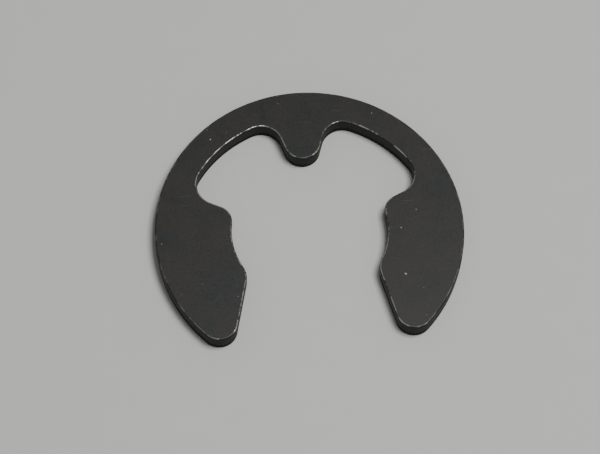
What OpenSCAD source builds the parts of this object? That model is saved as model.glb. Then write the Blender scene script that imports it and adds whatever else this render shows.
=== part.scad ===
// E-type retaining ring, stamped from flat spring steel.
// The bottom face lies on z = 0, and the origin is the centre of the round rim.
// +Y points to the closed back of the ring, and the mouth opens toward -Y.
// The upper edge is rolled over as the punch leaves it, and the lower edge is square.

/* [Blank] */
// Diameter of the round outer rim
outer_d = 12; // [11.4:0.05:14.4]
// Thickness of the sheet
thickness = 0.8; // [0.5:0.05:1.2]
// How far the punch rolls the upper edge over, down the wall and across the face
edge_roll = 0.1; // [0.04:0.01:0.15]
// Radial width of the beam between the rim and the pockets
beam_w = 1.1; // [0.9:0.05:1.4]

/* [Grip] */
// Diameter of the circle on which the two gripping arcs lie
grip_d = 6.05; // [5:0.05:6.4]
// Angle above the X axis at which each gripping arc starts
grip_start = 9.3; // [5:0.1:14]
// How much narrower the mouth is than the grip circle, so that the ring snaps on
mouth_snap = 0.92; // [0.6:0.01:1.3]
// Radius of each nose, at the lower end of a gripping arc
nose_r = 0.9; // [0.7:0.01:1]

/* [Legs] */
// Angle by which each leg opens outward from the mouth
leg_flare = 14; // [8:0.5:18]
// Radius of each leg's tip
tip_r = 0.72; // [0.55:0.01:0.8]

/* [Pockets] */
// Radius of each shoulder, at the upper end of a gripping arc
shoulder_r = 0.67; // [0.5:0.01:0.8]
// Angle at which the floor of a pocket rises from the shoulder
pocket_rise = 25.6; // [18:0.1:30]
// Radius of a pocket's outer end
pocket_end_r = 0.88; // [0.7:0.01:1]
// Radius of a pocket's inner end, at the root of the tab
root_r = 0.81; // [0.65:0.01:0.9]

/* [Tab] */
// Distance that the end of the tab stays outside the grip circle
tab_clear = 0.025; // [0:0.005:0.15]
// Radius of the end of the tab
tab_end_r = 0.73; // [0.6:0.01:0.85]
// Angle by which each flank of the tab opens toward its root
tab_taper = 18.5; // [10:0.5:22]

/* [Hidden] */
$fn = 96;

outer_r = outer_d / 2;
grip_r = grip_d / 2;
mouth_w = grip_d - mouth_snap;
pocket_r = outer_r - beam_w;   // outer wall of the pockets
bite = 0.0005;                 // by which a corner's circle crosses the edges that it blends with
roll_tilt = 8;                 // angle at which the roll leaves the face and the wall
roll_in = edge_roll / (1 - tan(roll_tilt));
roll_r = roll_in / cos(roll_tilt);
past = 1;                      // by which a cut runs past the sheet
outside = 2 * outer_r;         // well beyond the rim

// Directions, lengths and the meeting point of a line with a circle about the origin
function along(a) = [cos(a), sin(a)];
function left_of(d) = [-d.y, d.x];
function toward(p) = p / norm(p);
function bearing(p) = atan2(p.y, p.x);
function far_point(p, d, r) = p + d * (sqrt((p * d) ^ 2 - p * p + r ^ 2) - p * d);

// Tab: its end circle, its flank, and the round root that leads into the beam
tab_end = [0, grip_r + tab_clear + tab_end_r];
flank_dir = along(90 - tab_taper);
flank_out = -left_of(flank_dir);
flank_start = tab_end + tab_end_r * flank_out;
root = far_point(flank_start + root_r * flank_out, flank_dir, pocket_r - root_r);
flank_end = root - root_r * flank_out;

// Upper end of the gripping arc, shoulder, pocket floor, and the round end that leads into the beam
grip_top = grip_r * along(grip_start);
shoulder = (grip_r + shoulder_r) * along(grip_start);
floor_dir = along(pocket_rise);
floor_out = left_of(floor_dir);
floor_start = shoulder + shoulder_r * floor_out;
pocket_end = far_point(floor_start + pocket_end_r * floor_out, floor_dir, pocket_r - pocket_end_r);
floor_end = pocket_end - pocket_end_r * floor_out;

// Nose, lower end of the gripping arc, leg and tip
nose_x = mouth_w / 2 + nose_r;
nose = [nose_x, -sqrt((grip_r + nose_r) ^ 2 - nose_x ^ 2)];
grip_foot = grip_r * toward(nose);
leg_dir = along(leg_flare - 90);
leg_in = left_of(leg_dir);
leg_start = nose - nose_r * leg_in;
tip = far_point(leg_start + tip_r * leg_in, leg_dir, outer_r - tip_r);
leg_end = tip - tip_r * leg_in;

// Section of the corner that the roll takes off a wall at x = radius.
// side is 1 where the metal lies beyond the radius and -1 where it lies within.
module roll_section(radius, side) {
    translate([radius, thickness])
        scale([side, 1])
            difference() {
                translate([-edge_roll, -edge_roll])
                    square(2 * edge_roll);
                translate([roll_in, -roll_in])
                    circle(r = roll_r);
            }
}

// Section of a cut that reaches from one radius to another and leaves a rolled edge there
module cut_section(from, to) {
    translate([from, -past])
        square([to - from, thickness + 2 * past]);
    roll_section(to, 1);
}

// Round piece of the sheet with its upper edge rolled over
module coin(centre, radius) {
    translate(centre)
        rotate_extrude()
            difference() {
                square([radius, thickness]);
                roll_section(radius, -1);
            }
}

module round_cut(centre, radius) {
    translate(centre)
        rotate_extrude()
            cut_section(0, radius);
}

// Straight cut that leaves a rolled edge from one point to another, with the metal on its left.
// before and after are the lengths by which it runs past the two points.
module straight_cut(start, end, width, before, after) {
    run = end - start;
    translate(start)
        rotate(bearing(run) + 90)
            rotate([90, 0, 0])
                translate([0, 0, -before])
                    linear_extrude(height = before + norm(run) + after)
                        cut_section(-width, 0);
}

// Cut with the given outline and square edges, for what the other cuts and the corners cover
module plain_cut(points) {
    translate([0, 0, -past])
        linear_extrude(height = thickness + 2 * past)
            polygon(points);
}

// Pocket on the right: its two round ends, its outer wall, its floor, the tab's flank,
// and the space that it shares with the grip circle
module pocket() {
    clear = root_r / 2;
    round_cut(root, root_r + bite);
    round_cut(pocket_end, pocket_end_r + bite);
    rotate(bearing(pocket_end))
        rotate_extrude(angle = bearing(root) - bearing(pocket_end))
            cut_section(grip_r, pocket_r);
    straight_cut(floor_end, floor_start, pocket_end_r, 0, clear);
    straight_cut(flank_start, flank_end, root_r, clear, 0);
    plain_cut([[-clear, 0], grip_top, shoulder, floor_start + clear * floor_out, pocket_end, root,
        flank_start + clear * flank_out, tab_end]);
}

// Right half of the mouth, out past the rim beyond the leg's tip
module half_mouth() {
    clear = nose_r / 2;
    straight_cut(leg_start, leg_end, mouth_w / 2, clear, past);
    plain_cut([[-clear, 0], [-clear, -outside], [tip.x, -outside], outside * toward(tip), tip,
        leg_end - clear * leg_in, leg_start - clear * leg_in, nose, grip_foot]);
}

module both_sides() {
    children();
    mirror([1, 0, 0])
        children();
}

module retaining_ring() {
    color("#383834") {
        difference() {
            coin([0, 0], outer_r);
            round_cut([0, 0], grip_r);
            both_sides() {
                pocket();
                half_mouth();
            }
        }
        coin(tab_end, tab_end_r + bite);
        both_sides() {
            coin(shoulder, shoulder_r + bite);
            coin(nose, nose_r + bite);
            coin(tip, tip_r + bite);
        }
    }
}

retaining_ring();
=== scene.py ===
"""Builds the looks of a stamped spring-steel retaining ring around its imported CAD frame.

Lengths are in metres, and the ring lies as the frame does: bottom face on z = 0, the centre of
its round rim at the origin, its closed back towards +Y and its mouth open to -Y.
"""
import math
from collections import namedtuple
from itertools import accumulate

import bpy
from mathutils import Matrix, Vector


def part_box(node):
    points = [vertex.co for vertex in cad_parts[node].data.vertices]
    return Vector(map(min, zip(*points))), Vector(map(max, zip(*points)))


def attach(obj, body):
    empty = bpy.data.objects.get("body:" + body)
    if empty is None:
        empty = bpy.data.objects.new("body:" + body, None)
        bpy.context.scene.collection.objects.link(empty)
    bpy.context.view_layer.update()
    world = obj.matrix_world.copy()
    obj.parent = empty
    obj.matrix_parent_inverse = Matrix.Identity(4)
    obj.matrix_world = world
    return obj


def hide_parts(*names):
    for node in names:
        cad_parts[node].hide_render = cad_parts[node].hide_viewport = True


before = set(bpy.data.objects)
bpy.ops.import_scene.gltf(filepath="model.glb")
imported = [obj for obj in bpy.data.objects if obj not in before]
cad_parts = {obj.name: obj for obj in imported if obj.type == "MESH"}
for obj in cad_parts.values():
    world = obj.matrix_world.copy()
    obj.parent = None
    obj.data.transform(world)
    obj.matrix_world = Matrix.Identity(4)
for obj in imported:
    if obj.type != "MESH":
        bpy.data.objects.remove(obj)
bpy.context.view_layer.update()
RING_LOW, RING_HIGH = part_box("retaining_ring")
MM = 0.001
QUARTER = math.pi / 2

bl_info = {
    "name": "Stamped retaining ring",
    "version": (1, 0, 0),
    "blender": (4, 5, 0),
    "location": "3D View > Sidebar > Retaining ring",
    "description": "Builds a stamped spring-steel retaining ring, its finish and a small studio",
    "category": "Object",
}


# ---------------------------------------------------------------- settings

def length(name, description, default):
    """A length in metres."""
    return bpy.props.FloatProperty(
        name=name, description=description, default=default, min=0, step=0.001, precision=6,
        subtype="DISTANCE", unit="LENGTH")


def angle(name, description, degrees):
    """An angle, kept in radians."""
    return bpy.props.FloatProperty(
        name=name, description=description, default=math.radians(degrees), subtype="ANGLE",
        unit="ROTATION")


def colour(name, description, default):
    """A linear colour."""
    return bpy.props.FloatVectorProperty(
        name=name, description=description, default=default, min=0, max=1, size=3,
        subtype="COLOR")


def share(name, description, default):
    """A number from 0 to 1."""
    return bpy.props.FloatProperty(
        name=name, description=description, default=default, min=0, max=1, subtype="FACTOR")


def number(name, description, default, unit="NONE"):
    """Any other number, with its unit."""
    return bpy.props.FloatProperty(
        name=name, description=description, default=default, min=0, unit=unit)


class RingOutline(bpy.types.PropertyGroup):
    """Sizes of the ring's outline, seen from above"""

    outer_d: length("Outer diameter", "Diameter of the round rim", RING_HIGH.x - RING_LOW.x)
    beam_w: length("Beam width", "Width of the beam between the rim and the pockets", 1.1 * MM)
    grip_d: length("Grip diameter", "Circle on which the gripping arcs lie", 6.05 * MM)
    grip_start: angle("Grip start", "Angle above +X at which a gripping arc starts", 9.3)
    mouth_snap: length("Mouth snap", "How much narrower the mouth is than the grip", 0.92 * MM)
    nose_r: length("Nose radius", "Lower end of a gripping arc", 0.9 * MM)
    leg_flare: angle("Leg flare", "Angle by which a leg opens outward", 14)
    tip_r: length("Tip radius", "Radius of a leg's tip", 0.72 * MM)
    shoulder_r: length("Shoulder radius", "Upper end of a gripping arc", 0.67 * MM)
    pocket_rise: angle("Pocket rise", "Angle at which a pocket's floor rises", 25.6)
    pocket_end_r: length("Pocket end radius", "Outer end of a pocket", 0.88 * MM)
    root_r: length("Root radius", "Inner end of a pocket, at the tab's root", 0.81 * MM)
    tab_clear: length("Tab clearance", "Gap from the tab's end to the grip circle", 0.025 * MM)
    tab_end_r: length("Tab end radius", "Radius of the tab's end", 0.73 * MM)
    tab_taper: angle("Tab taper", "Angle by which a flank opens towards the root", 18.5)
    spacing: length("Spacing", "Distance between the points of the outline", 0.05 * MM)


class PunchedEdge(bpy.types.PropertyGroup):
    """Sizes of the edge that the punch leaves all round the ring"""

    thickness: length("Thickness", "Thickness of the sheet", RING_HIGH.z - RING_LOW.z)
    roll_w: length("Roll width", "How far the roll reaches across the face", 0.065 * MM)
    roll_d: length("Roll depth", "How far the roll reaches down the wall", 0.07 * MM)
    land_w: length("Land", "Flat margin beside each edge, where the face begins", 0.06 * MM)
    burnish_d: length("Burnish depth", "Depth at which the sheared wall turns rough", 0.47 * MM)
    wander: length("Wander", "How far the rough part's upper line strays", 0.07 * MM)
    lean: length("Lean", "How far the rough part draws in towards the lower edge", 0.022 * MM)
    ragged: length("Raggedness", "Depth of the pits in the rough part", 0.018 * MM)
    foot_r: length("Foot", "Radius to which tumbling wears the lower edge", 0.025 * MM)
    seed: bpy.props.IntProperty(name="Seed", description="Chooses another rough wall", default=3)


class SteelFinish(bpy.types.PropertyGroup):
    """Colours and marks of the dark steel"""

    coat: colour("Coat", "Dark phosphate coat", (0.0208, 0.0211, 0.0191))
    coat_warm: colour("Warm patches", "Coat where oil has yellowed it", (0.0258, 0.0231, 0.0188))
    coat_cool: colour("Cool patches", "Coat where it is thin", (0.0182, 0.0204, 0.0202))
    rubbed: colour("Rubbed steel", "Bare steel along the edges", (0.52, 0.51, 0.48))
    speck: colour("Specks", "Dust and tiny nicks on the faces", (0.34, 0.34, 0.32))
    # The wall colour is the coat on the sheared wall, made darker than the face's coat as painted
    # shade for walls that face away from the light.
    wall: colour("Wall", "Coat on the sheared wall", (0.0165, 0.0165, 0.0152))
    rub: share("Rub", "How much of the edges is rubbed bright", 0.56)
    satin: share("Satin", "Roughness of the coat on the faces", 0.43)


class StageSettings(bpy.types.PropertyGroup):
    """Floor, lights and camera"""

    floor: colour("Floor", "Colour of the pale floor", (0.62, 0.62, 0.61))
    key: number("Key light", "Strength of the main light, in watts", 0.115, unit="POWER")
    fill: number("Fill light", "Strength of the fill light, in watts", 0.004, unit="POWER")
    sky: number("Sky", "Strength of the even light from all round", 0.22)
    lens: number("Lens", "Focal length of the camera, in millimetres", 180, unit="CAMERA")


# ---------------------------------------------------------------- nodes

# Sockets of a node that mixes colours, by number, because their names repeat on it
MIX_FACTOR = 0
MIX_FIRST = 6
MIX_SECOND = 7
MIX_RESULT = 2
VALUE_OUT = 1    # output of a Vector Math node that gives a number


class Wire:
    """An output of a node. Arithmetic on it adds Math nodes."""

    def __init__(self, graph, socket):
        self.graph = graph
        self.socket = socket

    def other(self, name):
        """Another output of the same node."""
        return Wire(self.graph, self.socket.node.outputs[name])

    def __add__(self, value):
        return self.graph.maths("ADD", self, value)

    def __sub__(self, value):
        return self.graph.maths("SUBTRACT", self, value)

    def __mul__(self, value):
        return self.graph.maths("MULTIPLY", self, value)

    def __truediv__(self, value):
        return self.graph.maths("DIVIDE", self, value)

    def __pow__(self, value):
        return self.graph.maths("POWER", self, value)

    def __rsub__(self, value):
        return self.graph.maths("SUBTRACT", value, self)

    __radd__ = __add__
    __rmul__ = __mul__


class Graph:
    """Adds nodes to a node tree."""

    def __init__(self, tree):
        self.tree = tree

    def add(self, kind, settings=None, inputs=None, output=0):
        """Adds a node with its settings, then its inputs by name or number. Returns one output."""
        node = self.tree.nodes.new(kind)
        for name, value in (settings or {}).items():
            if name == "captures":
                for item, data_type in value.items():
                    node.capture_items.new(data_type, item)
            else:
                setattr(node, name, value)
        for name, value in (inputs or {}).items():
            self.feed(node.inputs[name], value)
        return Wire(self, node.outputs[output]) if node.outputs else node

    def feed(self, socket, value):
        """Sets a socket to a value, or links a wire or a list of wires to it."""
        for item in value if isinstance(value, list) else [value]:
            if isinstance(item, Wire):
                self.tree.links.new(item.socket, socket)
            else:
                socket.default_value = item

    def maths(self, operation, *values):
        return self.add("ShaderNodeMath", {"operation": operation}, dict(enumerate(values)))

    def vector(self, operation, *values, output=0):
        return self.add("ShaderNodeVectorMath", {"operation": operation}, dict(enumerate(values)),
                        output)

    def scaled(self, vector, factor):
        """A vector or colour times a number."""
        return self.add("ShaderNodeVectorMath", {"operation": "SCALE"},
                        {0: vector, "Scale": factor})

    def raised(self, height):
        """A vector of a height along Z."""
        return self.add("ShaderNodeCombineXYZ", inputs={"Z": height})

    def turned(self, place, turn, stretch):
        """Places turned about Z and then stretched along each axis."""
        return self.add("ShaderNodeMapping",
                        inputs={"Vector": place, "Rotation": (0, 0, turn), "Scale": stretch})

    def ramp(self, value, low, high, smooth=True):
        """0 where value is at low, 1 where it is at high, and in between a smooth or even rise."""
        kind = "SMOOTHSTEP" if smooth else "LINEAR"
        return self.add("ShaderNodeMapRange", {"interpolation_type": kind},
                        {"Value": value, "From Min": low, "From Max": high})

    def mix(self, factor, first, second):
        """Colour between two, by a factor. A colour is a wire, or three numbers."""
        first, second = (c if isinstance(c, Wire) else (*c, 1) for c in (first, second))
        return self.add("ShaderNodeMix", {"data_type": "RGBA"},
                        {MIX_FACTOR: factor, MIX_FIRST: first, MIX_SECOND: second}, MIX_RESULT)

    def noise(self, place, scale, detail=2.0, roughness=0.5, w=None):
        """Noise about 0.5. Given w, other noise for each value of it."""
        inputs = {"Vector": place, "Scale": scale, "Detail": detail, "Roughness": roughness}
        if w is not None:
            inputs["W"] = w
        kind = "3D" if w is None else "4D"
        return self.add("ShaderNodeTexNoise", {"noise_dimensions": kind}, inputs)


# ---------------------------------------------------------------- outline

LEAST_ARC_STEPS = 4


def along(angle):
    """The direction at an angle from +X."""
    return Vector((math.cos(angle), math.sin(angle)))


def left_of(direction):
    """A direction turned a quarter to the left."""
    return Vector((-direction.y, direction.x))


def bearing(point):
    """The angle from +X at which a point lies."""
    return math.atan2(point.y, point.x)


def far_point(point, direction, radius):
    """Where a line from a point meets the far side of a circle about the origin."""
    ahead = point.dot(direction)
    return point + direction * (math.sqrt(ahead ** 2 - point.dot(point) + radius ** 2) - ahead)


def arc(centre, radius, start, end, spacing):
    """Points along an arc, with its first one and without its last."""
    steps = max(LEAST_ARC_STEPS, math.ceil(abs(end - start) * radius / spacing))
    turn = (end - start) / steps
    return [centre + radius * along(start + turn * i) for i in range(steps)]


def line(start, end, spacing):
    """Points along a line, with its first one and without its last."""
    steps = max(1, math.ceil((end - start).length / spacing))
    return [start.lerp(end, i / steps) for i in range(steps)]


def half_outline(o):
    """Right half of the outline, from the top of the rim clockwise to the end of the tab."""
    half_turn = 2 * QUARTER
    centre = Vector((0, 0))
    outer_r = o.outer_d / 2
    grip_r = o.grip_d / 2
    pocket_r = outer_r - o.beam_w

    # Tab: its end, its flank, and the root that leads into the beam
    tab_end = Vector((0, grip_r + o.tab_clear + o.tab_end_r))
    flank_dir = along(QUARTER - o.tab_taper)
    flank_out = -left_of(flank_dir)
    flank_start = tab_end + o.tab_end_r * flank_out
    root = far_point(flank_start + o.root_r * flank_out, flank_dir, pocket_r - o.root_r)
    flank_end = root - o.root_r * flank_out

    # Shoulder, and the pocket's floor and outer end
    shoulder = (grip_r + o.shoulder_r) * along(o.grip_start)
    floor_dir = along(o.pocket_rise)
    floor_out = left_of(floor_dir)
    floor_start = shoulder + o.shoulder_r * floor_out
    pocket_end = far_point(floor_start + o.pocket_end_r * floor_out, floor_dir,
                           pocket_r - o.pocket_end_r)
    floor_end = pocket_end - o.pocket_end_r * floor_out

    # Nose, leg and tip
    nose_x = (o.grip_d - o.mouth_snap) / 2 + o.nose_r
    nose = Vector((nose_x, -math.sqrt((grip_r + o.nose_r) ** 2 - nose_x ** 2)))
    leg_dir = along(o.leg_flare - QUARTER)
    leg_in = left_of(leg_dir)
    leg_start = nose - o.nose_r * leg_in
    tip = far_point(leg_start + o.tip_r * leg_in, leg_dir, outer_r - o.tip_r)
    leg_end = tip - o.tip_r * leg_in

    s = o.spacing
    facing_leg = o.leg_flare - half_turn
    return (
        arc(centre, outer_r, QUARTER, bearing(tip), s)
        + arc(tip, o.tip_r, bearing(tip), facing_leg, s)
        + line(leg_end, leg_start, s)
        + arc(nose, o.nose_r, facing_leg, bearing(-nose) - 2 * half_turn, s)
        + arc(centre, grip_r, bearing(nose), o.grip_start, s)
        + arc(shoulder, o.shoulder_r, o.grip_start + half_turn, o.pocket_rise + QUARTER, s)
        + line(floor_start, floor_end, s)
        + arc(pocket_end, o.pocket_end_r, o.pocket_rise - QUARTER, bearing(pocket_end), s)
        + arc(centre, pocket_r, bearing(pocket_end), bearing(root), s)
        + arc(root, o.root_r, bearing(root), half_turn - o.tab_taper, s)
        + line(flank_end, flank_start, s)
        + arc(tab_end, o.tab_end_r, -o.tab_taper, -QUARTER, s)
        + [tab_end - Vector((0, o.tab_end_r))])


def outline(sizes):
    """The whole outline, clockwise seen from above, so that the metal lies on its right."""
    half = half_outline(sizes)
    return half + [Vector((-p.x, p.y)) for p in reversed(half[1:-1])]


# ---------------------------------------------------------------- punched edge

# Rows of faces in the edge's bands, from the upper face to the lower one:
# land, roll, burnished wall, torn wall, foot, land
BAND_ROWS = (3, 12, 5, 9, 3, 3)
SEED_STRIDE = 7.31    # distance in the noise from one seed to the next
PIT_SEED = 5          # distance in the noise from the tear line to the pits
PIT_HEIGHT = 0.35     # how far the noise of the pits changes down the torn wall
PIT_RANGE = (0.32, 0.7)    # values of that noise at which a pit starts and is deepest
PITS_IN = (0, 0.25)        # shares of the torn wall over which the pits begin and end
PITS_OUT = (0.8, 1)
WELD = 1e-7           # points nearer than this become one


def punched_edge_tree():
    """Sweeps the section of a punched edge along a closed outline, and closes both faces."""
    tree = bpy.data.node_groups.new("punched_edge", "GeometryNodeTree")
    g = Graph(tree)
    tree.interface.new_socket("Geometry", in_out="INPUT", socket_type="NodeSocketGeometry")
    for name in ("Thickness", "Roll Width", "Roll Depth", "Land", "Burnish Depth", "Wander",
                 "Lean", "Raggedness", "Foot"):
        socket = tree.interface.new_socket(name, in_out="INPUT", socket_type="NodeSocketFloat")
        socket.subtype = "DISTANCE"
    tree.interface.new_socket("Seed", in_out="INPUT", socket_type="NodeSocketInt")
    tree.interface.new_socket("Finish", in_out="INPUT", socket_type="NodeSocketMaterial")
    tree.interface.new_socket("Geometry", in_out="OUTPUT", socket_type="NodeSocketGeometry")
    given = g.add("NodeGroupInput")
    thickness = given.other("Thickness")
    land = given.other("Land")
    roll_w = given.other("Roll Width")
    roll_d = given.other("Roll Depth")
    lean = given.other("Lean")
    foot = given.other("Foot")

    # The outline as a curve that remembers each point's place and which way is outward
    curve = g.add("GeometryNodeMeshToCurve", inputs={"Mesh": given})
    ahead = g.add("GeometryNodeInputTangent")
    rail = g.add("GeometryNodeCaptureAttribute",
                 {"captures": {"Place": "VECTOR", "Outward": "VECTOR"}},
                 {"Geometry": curve, "Place": g.add("GeometryNodeInputPosition"),
                  "Outward": g.vector("CROSS_PRODUCT", (0, 0, 1), ahead)})
    place = rail.other("Place")
    outward = rail.other("Outward")

    # The section as a line whose points are numbered from the upper face to the lower one
    down = g.add("GeometryNodeCurvePrimitiveLine", inputs={"Start": (0, 0, 0), "End": (MM, 0, 0)})
    down = g.add("GeometryNodeResampleCurve", inputs={"Curve": down, "Count": sum(BAND_ROWS) + 1})
    section = g.add("GeometryNodeCaptureAttribute", {"captures": {"Step": "FLOAT"}},
                    {"Geometry": down, "Step": g.add("GeometryNodeInputIndex")})
    step = section.other("Step")

    # For each band, 0 before it, 1 after it, and an even rise within it
    upper_land, rolled, burnished, torn, worn, lower_land = (
        g.ramp(step, first, first + rows, smooth=False)
        for first, rows in zip(accumulate(BAND_ROWS, initial=0), BAND_ROWS))

    # Where the wall tears, and how deep its pits are, from noise in millimetres of the outline
    seed = given.other("Seed") * SEED_STRIDE
    here = g.scaled(place, 1 / MM)
    stray = g.noise(here, scale=1.3, detail=5.0, roughness=0.62, w=seed) - 0.5
    tear_line = given.other("Burnish Depth") + 2 * given.other("Wander") * stray
    pits = g.noise(g.vector("ADD", here, g.raised(torn * PIT_HEIGHT)), scale=7.5, detail=3.0,
                   roughness=0.6, w=seed + PIT_SEED)
    pitted = g.ramp(torn, *PITS_IN) * (1 - g.ramp(torn, *PITS_OUT))
    pit = given.other("Raggedness") * g.ramp(pits, *PIT_RANGE) * pitted

    # How far in from the outline, and how far below the upper face, each point lies
    roll_turn = rolled * QUARTER
    foot_turn = worn * QUARTER
    inset = (land * (1 - upper_land) ** 2 + roll_w * (1 - g.maths("SINE", roll_turn))
             + lean * torn + pit
             + foot * (1 - g.maths("COSINE", foot_turn)) + land * lower_land ** 2)
    drop = (roll_d * (1 - g.maths("COSINE", roll_turn)) + (tear_line - roll_d) * burnished
            + (thickness - foot - tear_line) * torn + foot * g.maths("SINE", foot_turn))

    def inside(distance, height):
        """The outline's places, moved into the metal and up."""
        moved = g.vector("SUBTRACT", place, g.scaled(outward, distance))
        return g.vector("ADD", moved, g.raised(height))

    def stored(geometry, name, value):
        """Geometry that keeps a number at each point under a name."""
        return g.add("GeometryNodeStoreNamedAttribute", {"data_type": "FLOAT"},
                     {"Geometry": geometry, "Name": name, "Value": value})

    def face(distance, height, band):
        """A flat face within the outline, its points marked as its edge is."""
        edge = g.add("GeometryNodeSetPosition",
                     inputs={"Geometry": rail, "Position": inside(distance, 0.0)})
        flat = g.add("GeometryNodeFillCurve", {"mode": "TRIANGLES"}, {"Curve": edge})
        flat = g.add("GeometryNodeSetPosition",
                     inputs={"Geometry": flat, "Offset": g.raised(height)})
        flat = stored(stored(flat, "rolled", band), "torn", band)
        return g.add("GeometryNodeSetShadeSmooth",
                     inputs={"Geometry": flat, "Shade Smooth": False})

    wall = g.add("GeometryNodeCurveToMesh", inputs={"Curve": rail, "Profile Curve": section})
    wall = g.add("GeometryNodeFlipFaces", inputs={"Mesh": wall})
    wall = g.add("GeometryNodeSetPosition",
                 inputs={"Geometry": wall, "Position": inside(inset, thickness - drop)})
    wall = stored(stored(wall, "rolled", rolled), "torn", torn)
    wall = g.add("GeometryNodeSetShadeSmooth", inputs={"Geometry": wall, "Shade Smooth": True})
    top = face(land + roll_w, thickness, 0.0)
    bottom = g.add("GeometryNodeFlipFaces", inputs={"Mesh": face(land + lean + foot, 0.0, 1.0)})

    whole = g.add("GeometryNodeJoinGeometry", inputs={"Geometry": [bottom, wall, top]})
    whole = g.add("GeometryNodeMergeByDistance", inputs={"Geometry": whole, "Distance": WELD})
    whole = g.add("GeometryNodeRealizeInstances", inputs={"Geometry": whole})
    whole = g.add("GeometryNodeSetMaterial",
                  inputs={"Geometry": whole, "Material": given.other("Finish")})
    g.add("NodeGroupOutput", inputs={"Geometry": whole})
    return tree


def set_inputs(modifier, values):
    """Sets a Geometry Nodes modifier's inputs by name."""
    sockets = {item.name: item.identifier for item in modifier.node_group.interface.items_tree
               if item.in_out == "INPUT"}
    for name, value in values.items():
        modifier[sockets[name]] = value


# ---------------------------------------------------------------- finish

# Where one finish gives way to the next, as shares of the roll or of the torn wall
WALL_START = (0.35, 0.75)      # from the face's to the wall's, along the roll
TEAR_START = (0.0, 0.12)       # from the sheared wall's to the torn wall's
UNDER_START = (0.97, 1.0)      # from the wall's to the underside's

# Rubbed lines: the same shares, between which each grows, is full and fades
ROLL_LINE = (0.0, 0.2, 0.4, 0.7)
FOOT_LINE = (0.9, 0.995, 0.995, 1.0)
ROLL_BREAKS = (0.6, 0.78)      # values of the noise at which an unrubbed roll would be bare
ROLL_GAIN = 0.3                # how far the rub lowers them
FOOT_BREAKS = (0.5, 0.7)
FOOT_BARE = 0.4                # how bare the foot gets
CRUMBS = (0.36, 0.6)           # values of the fine noise that thins the line on the roll
CRUMB_LEAST = 0.4              # what it leaves of the line
RIM_BAND = (-0.07, -0.01)      # the rim's edge, in millimetres beyond the outer radius
RIM_SPARED = 0.7               # how much less the rim's edge is rubbed than the others

# Fine scratches on the faces: direction in radians, stretch along each axis, and rarity
SCRATCHES = ((1.15, (0.3, 14.0, 1.0), 0.74), (-0.25, (0.4, 17.0, 1.0), 0.73))
SCRATCH_BLUR = 0.06
DRAWN_TURN = 0.12              # direction in which the strip was drawn, in radians

# Specks: one in some cells of a grid. Lengths are in millimetres.
SPECK_CELLS = 1.4              # cells in a millimetre
SPECK_STIR = 0.13              # how far noise pulls the grid and the specks out of shape
SPECK_LEAST_R = 0.022
SPECK_MORE_R = 0.055           # how much larger the largest ones are
SPECK_SKEW = 4                 # the higher, the fewer large ones
SPECK_EDGE = (0.5, 1.1)        # shares of the radius over which a speck fades
SPECK_CHANCE = (0.74, 0.93)    # share of the cells without one, and share without a bright one

# Colours: noise values over which one coat turns into the next, and how much a mark covers
PATCH_TURN = (0.38, 0.6)
BLOTCH_TURN = (0.4, 0.68)
SPECK_COVER = 0.9
SCRATCH_COVER = 0.05
BARE_METALLIC = 0.9

# Least brightness of a coat as a share of its colour, and how much its noise adds
FACE_GRAIN = (0.4, 1.2)
SHEARED_DRAG = (0.6, 0.8)
TORN_GRAIN = (0.1, 1.6)

# How much each pattern changes the roughness of the faces, and how high it stands in the bump
MATT = {"blotch": 0.16, "grain": 0.2, "patches": 0.1, "scratch": 0.06, "bare": 0.4}
RELIEF = {"grain": 0.5, "blotch": 0.2, "drawn": 0.12, "scratch": 0.4, "drag": 0.8}
BUMP_STRENGTH = 0.35
BUMP_HEIGHT = 0.008 * MM
FACE_SPECULAR = 0.35
WALL_SPECULAR = 0.12
WALL_MATT = 0.55
TORN_MATT = 0.2                # how much rougher the torn wall is than the sheared one

FLOOR_FIBRE = 0.96             # shade of the card between its palest fibres
FLOOR_MATT = 0.85


def blank_material(name):
    """A material without nodes, and the graph that adds them."""
    material = bpy.data.materials.new(name)
    material.use_nodes = True
    material.node_tree.nodes.clear()
    return material, Graph(material.node_tree)


def mottled(g, tint, noise, least, gain):
    """A colour made darker or brighter by noise."""
    return g.scaled(tint, least + gain * noise)


def thin_line(g, value, start, full, fading, end):
    """1 where value is from full to fading, and 0 before start and after end."""
    return g.ramp(value, start, full) * (1 - g.ramp(value, fading, end))


def scratched(g, place):
    """1 on the fine scratches that cross the faces."""
    lines = []
    for turn, stretch, rarity in SCRATCHES:
        noise = g.noise(g.turned(place, turn, stretch), scale=1.0, detail=2.0, roughness=0.5)
        lines.append(g.ramp(noise, rarity, rarity + SCRATCH_BLUR))
    return g.maths("MAXIMUM", *lines)


def specked(g, place):
    """1 on dust and tiny nicks, in some cells of a loose grid, and 0 beside them."""
    stir = g.add("ShaderNodeTexNoise", inputs={"Vector": place, "Scale": 9.0, "Detail": 2.0},
                 output="Color")
    stir = g.scaled(g.vector("SUBTRACT", stir, (0.5, 0.5, 0.5)), SPECK_STIR)
    cells = g.add("ShaderNodeTexVoronoi", {"voronoi_dimensions": "2D"},
                  {"Vector": g.vector("ADD", place, stir), "Scale": SPECK_CELLS})
    chance = g.add("ShaderNodeSeparateColor", inputs={"Color": cells.other("Color")})
    radius = SPECK_LEAST_R + SPECK_MORE_R * chance.other("Green") ** SPECK_SKEW
    return (1 - g.ramp(cells / radius, *SPECK_EDGE)) * g.ramp(chance, *SPECK_CHANCE)


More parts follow.
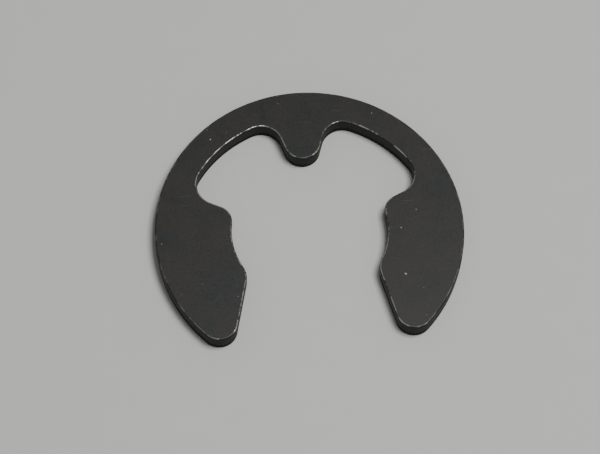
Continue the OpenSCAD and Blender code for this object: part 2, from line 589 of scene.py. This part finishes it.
def bared(g, place, rolled, torn, rub, outer_r):
    """How bare the steel is: broken lines on the roll, fewer on the rim, and faint on the foot."""
    breaks = g.noise(place, scale=2.1, detail=5.0, roughness=0.7)
    crumbs = g.noise(place, scale=9.0, detail=3.0, roughness=0.6)
    broken = g.ramp(breaks, *(value - ROLL_GAIN * rub for value in ROLL_BREAKS))
    thinned = CRUMB_LEAST + (1 - CRUMB_LEAST) * g.ramp(crumbs, *CRUMBS)
    roll = thin_line(g, rolled, *ROLL_LINE) * broken * thinned
    beyond = g.vector("LENGTH", place, output=VALUE_OUT) - outer_r / MM
    roll = roll * (1 - RIM_SPARED * g.ramp(beyond, *RIM_BAND))
    foot = thin_line(g, torn, *FOOT_LINE) * g.ramp(breaks, *FOOT_BREAKS) * FOOT_BARE
    return g.maths("MAXIMUM", roll, foot)


def black_steel(finish, outer_r):
    """Satin dark phosphate on spring steel, rubbed bright in thin broken lines along its edges."""
    material, g = blank_material("black_steel")
    place = g.scaled(g.add("ShaderNodeTexCoord", output="Object"), 1 / MM)
    rolled = g.add("ShaderNodeAttribute", {"attribute_name": "rolled"}, output="Fac")
    torn = g.add("ShaderNodeAttribute", {"attribute_name": "torn"}, output="Fac")
    above_foot = 1 - g.ramp(torn, *UNDER_START)
    wall = g.ramp(rolled, *WALL_START) * above_foot
    rough = g.ramp(torn, *TEAR_START) * above_foot

    # Broad patches of oil, blotches, the fine crystals of the phosphate, and drawn lines
    patches = g.noise(place, scale=0.8, detail=4.0, roughness=0.65)
    blotch = g.noise(place, scale=3.0, detail=5.0, roughness=0.65)
    grain = g.noise(place, scale=11.0, detail=4.0, roughness=0.75)
    drawn = g.noise(g.turned(place, DRAWN_TURN, (0.9, 30.0, 30.0)), scale=1.0, detail=4.0,
                    roughness=0.6)
    scratch = scratched(g, place) * (1 - wall)
    speck = specked(g, place) * (1 - wall)
    bare = bared(g, place, rolled, torn, finish.rub, outer_r)

    coat = g.mix(g.ramp(patches, *PATCH_TURN), finish.coat_cool, finish.coat_warm)
    coat = g.mix(g.ramp(blotch, *BLOTCH_TURN), coat, finish.coat)
    coat = mottled(g, coat, grain, *FACE_GRAIN)
    base = g.mix(bare, coat, finish.rubbed)
    base = g.mix(speck * SPECK_COVER, base, finish.speck)
    base = g.mix(scratch * SCRATCH_COVER, base, finish.rubbed)
    roughness = (finish.satin + MATT["blotch"] * (blotch - 0.5) + MATT["grain"] * (grain - 0.5)
                 + MATT["patches"] * (patches - 0.5))
    roughness = (roughness - MATT["scratch"] * scratch) * (1 - MATT["bare"] * bare)

    # The wall below the roll: upright drag lines where it was sheared, coarse grain where it tore.
    # Both start from the wall colour, which is darker than the face's coat as painted shade.
    drag = g.noise(g.turned(place, 0.0, (22.0, 22.0, 1.1)), scale=1.0, detail=3.0, roughness=0.6)
    sheared_coat_and_shade = mottled(g, finish.wall, drag, *SHEARED_DRAG)
    torn_coat_and_shade = mottled(g, finish.wall, grain, *TORN_GRAIN)
    height = (RELIEF["grain"] * grain + RELIEF["blotch"] * blotch + RELIEF["drawn"] * drawn
              - RELIEF["scratch"] * scratch)
    height = height + wall * (1 - rough) * (drag - 0.5) * RELIEF["drag"]
    bump = g.add("ShaderNodeBump",
                 inputs={"Strength": BUMP_STRENGTH, "Distance": BUMP_HEIGHT, "Height": height})

    face_shader = g.add("ShaderNodeBsdfPrincipled", inputs={
        "Base Color": base, "Roughness": roughness, "Metallic": BARE_METALLIC * bare,
        "Specular IOR Level": FACE_SPECULAR, "Normal": bump})
    wall_shader = g.add("ShaderNodeBsdfPrincipled", inputs={
        "Base Color": g.mix(rough, sheared_coat_and_shade, torn_coat_and_shade),
        "Roughness": WALL_MATT + TORN_MATT * rough, "Specular IOR Level": WALL_SPECULAR,
        "Normal": bump})
    shader = g.add("ShaderNodeMixShader", inputs={0: wall, 1: face_shader, 2: wall_shader})
    g.add("ShaderNodeOutputMaterial", inputs={"Surface": shader})
    return material


def pale_floor(tint):
    """Plain pale matt card."""
    material, g = blank_material("pale_floor")
    fibre = g.noise(g.add("ShaderNodeTexCoord", output="Object"), scale=900.0, detail=3.0,
                    roughness=0.6)
    base = g.mix(fibre, [FLOOR_FIBRE * value for value in tint], tint)
    shader = g.add("ShaderNodeBsdfPrincipled",
                   inputs={"Base Color": base, "Roughness": FLOOR_MATT})
    g.add("ShaderNodeOutputMaterial", inputs={"Surface": shader})
    return material


# ---------------------------------------------------------------- ring

class RING_OT_stamp(bpy.types.Operator):
    """Make the ring: its outline, its punched edge and its dark finish"""

    bl_idname = "ring.stamp"
    bl_label = "Stamp the ring"

    def execute(self, context):
        scene = context.scene
        carrier = self.outline_loop(scene)
        self.punch(scene, carrier)
        depsgraph = context.evaluated_depsgraph_get()
        made = bpy.data.meshes.new_from_object(
            carrier.evaluated_get(depsgraph), preserve_all_data_layers=True, depsgraph=depsgraph)
        made.materials.pop(index=0)    # the tree leaves an empty slot before the finish
        made.name = "stamped_ring"
        ring = bpy.data.objects.new("stamped_ring", made)
        scene.collection.objects.link(ring)
        bpy.data.objects.remove(carrier)
        if not made.polygons:
            raise RuntimeError("the punched edge gave no faces")

        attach(ring, "root")
        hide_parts("retaining_ring")
        return {"FINISHED"}

    def outline_loop(self, scene):
        """An object whose mesh is the outline, as one closed loop of edges."""
        points = outline(scene.ring_outline)
        count = len(points)
        mesh = bpy.data.meshes.new("outline")
        mesh.from_pydata([(*p, 0) for p in points], [(i, (i + 1) % count) for i in range(count)],
                         [])
        carrier = bpy.data.objects.new("outline", mesh)
        scene.collection.objects.link(carrier)
        return carrier

    def punch(self, scene, carrier):
        """Adds the modifier that makes the ring from its outline."""
        edge = scene.punched_edge
        modifier = carrier.modifiers.new("punched edge", "NODES")
        modifier.node_group = punched_edge_tree()
        set_inputs(modifier, {
            "Thickness": edge.thickness, "Roll Width": edge.roll_w, "Roll Depth": edge.roll_d,
            "Land": edge.land_w, "Burnish Depth": edge.burnish_d, "Wander": edge.wander,
            "Lean": edge.lean, "Raggedness": edge.ragged, "Foot": edge.foot_r, "Seed": edge.seed,
            "Finish": black_steel(scene.steel_finish, scene.ring_outline.outer_d / 2)})


# ---------------------------------------------------------------- stage

FLOOR_HALF = 0.5
FLOOR_GAP = 0.002 * MM    # below the ring, so that the floor and the underside stay apart

# Angles are in degrees, from -Y towards +X and up from the floor. Distances and widths are in
# outer radii of the ring.
SoftLight = namedtuple("SoftLight", "azimuth elevation distance width")
LIGHTS = {
    "key": SoftLight(azimuth=78, elevation=76, distance=20, width=7),
    "fill": SoftLight(azimuth=-40, elevation=35, distance=50, width=30),
}
CAMERA_TARGET = (-0.0619, 0.0172)
CAMERA_DISTANCE = 19.380
CAMERA_AZIMUTH = -6.758
CAMERA_ELEVATION = 64.595
CAMERA_ROLL = 2.652
SENSOR_WIDTH = 36         # in millimetres, as is the lens
CLIP_START = 0.01
CLIP_END = 10


class RING_OT_stage(bpy.types.Operator):
    """Make the floor, the lights and the camera"""

    bl_idname = "ring.stage"
    bl_label = "Set the stage"

    def execute(self, context):
        scene = context.scene
        settings = scene.stage_settings
        outer_r = scene.ring_outline.outer_d / 2
        top = scene.punched_edge.thickness
        self.lay_floor(scene, settings)
        for name, light in LIGHTS.items():
            self.hang_light(scene, name, light, getattr(settings, name), outer_r,
                            Vector((0, 0, top / 2)))
        world = bpy.data.worlds.new("studio")
        world.use_nodes = True
        background = world.node_tree.nodes["Background"]
        background.inputs["Color"].default_value = (1, 1, 1, 1)
        background.inputs["Strength"].default_value = settings.sky
        scene.world = world
        self.place_camera(scene, settings, outer_r, top)
        return {"FINISHED"}

    def lay_floor(self, scene, settings):
        z = RING_LOW.z - FLOOR_GAP
        corners = [(-FLOOR_HALF, -FLOOR_HALF, z), (FLOOR_HALF, -FLOOR_HALF, z),
                   (FLOOR_HALF, FLOOR_HALF, z), (-FLOOR_HALF, FLOOR_HALF, z)]
        mesh = bpy.data.meshes.new("floor")
        mesh.from_pydata(corners, [], [(0, 1, 2, 3)])
        mesh.materials.append(pale_floor(settings.floor))
        floor = bpy.data.objects.new("floor", mesh)
        scene.collection.objects.link(floor)

    def hang_light(self, scene, name, light, watts, outer_r, target):
        """Adds a square soft light that shines at the target."""
        data = bpy.data.lights.new(f"{name}_light", "AREA")
        data.shape = "SQUARE"
        data.size = light.width * outer_r
        data.energy = watts
        lamp = bpy.data.objects.new(f"{name}_light", data)
        azimuth = math.radians(light.azimuth)
        elevation = math.radians(light.elevation)
        away = Vector((math.sin(azimuth) * math.cos(elevation),
                       -math.cos(azimuth) * math.cos(elevation), math.sin(elevation)))
        lamp.location = target + away * (light.distance * outer_r)
        lamp.rotation_euler = (target - lamp.location).to_track_quat("-Z", "Y").to_euler()
        scene.collection.objects.link(lamp)

    def place_camera(self, scene, settings, outer_r, top):
        """Looks down on the ring from its mouth, turned a little to its left."""
        x, y = CAMERA_TARGET
        target = Vector((x * outer_r, y * outer_r, top))
        turn = (Matrix.Rotation(math.radians(CAMERA_AZIMUTH), 4, "Z")
                @ Matrix.Rotation(QUARTER - math.radians(CAMERA_ELEVATION), 4, "X")
                @ Matrix.Rotation(math.radians(CAMERA_ROLL), 4, "Z"))
        data = bpy.data.cameras.new("camera")
        data.sensor_width = SENSOR_WIDTH
        data.lens = settings.lens
        data.clip_start = CLIP_START
        data.clip_end = CLIP_END
        camera = bpy.data.objects.new("camera", data)
        camera.matrix_world = (Matrix.Translation(target) @ turn
                               @ Matrix.Translation((0, 0, CAMERA_DISTANCE * outer_r)))
        scene.collection.objects.link(camera)
        scene.camera = camera


# ---------------------------------------------------------------- panel and registering

class RING_PT_panel(bpy.types.Panel):
    """Sizes, colours and steps of the retaining ring"""

    bl_idname = "RING_PT_panel"
    bl_label = "Retaining ring"
    bl_space_type = "VIEW_3D"
    bl_region_type = "UI"
    bl_category = "Retaining ring"

    def draw(self, context):
        layout = self.layout
        for group_name in GROUPS:
            group = getattr(context.scene, group_name)
            box = layout.box()
            box.label(text=group.bl_rna.description)
            for name in group.__annotations__:
                box.prop(group, name)
        layout.operator(RING_OT_stage.bl_idname)
        layout.operator(RING_OT_stamp.bl_idname)


GROUPS = {
    "ring_outline": RingOutline,
    "punched_edge": PunchedEdge,
    "steel_finish": SteelFinish,
    "stage_settings": StageSettings,
}
CLASSES = (*GROUPS.values(), RING_OT_stamp, RING_OT_stage, RING_PT_panel)


def register():
    for cls in CLASSES:
        bpy.utils.register_class(cls)
    for name, group in GROUPS.items():
        setattr(bpy.types.Scene, name, bpy.props.PointerProperty(type=group))


def unregister():
    for name in GROUPS:
        delattr(bpy.types.Scene, name)
    for cls in reversed(CLASSES):
        bpy.utils.unregister_class(cls)


def main():
    register()
    bpy.ops.ring.stage()
    bpy.ops.ring.stamp()


if __name__ == "__main__":
    main()
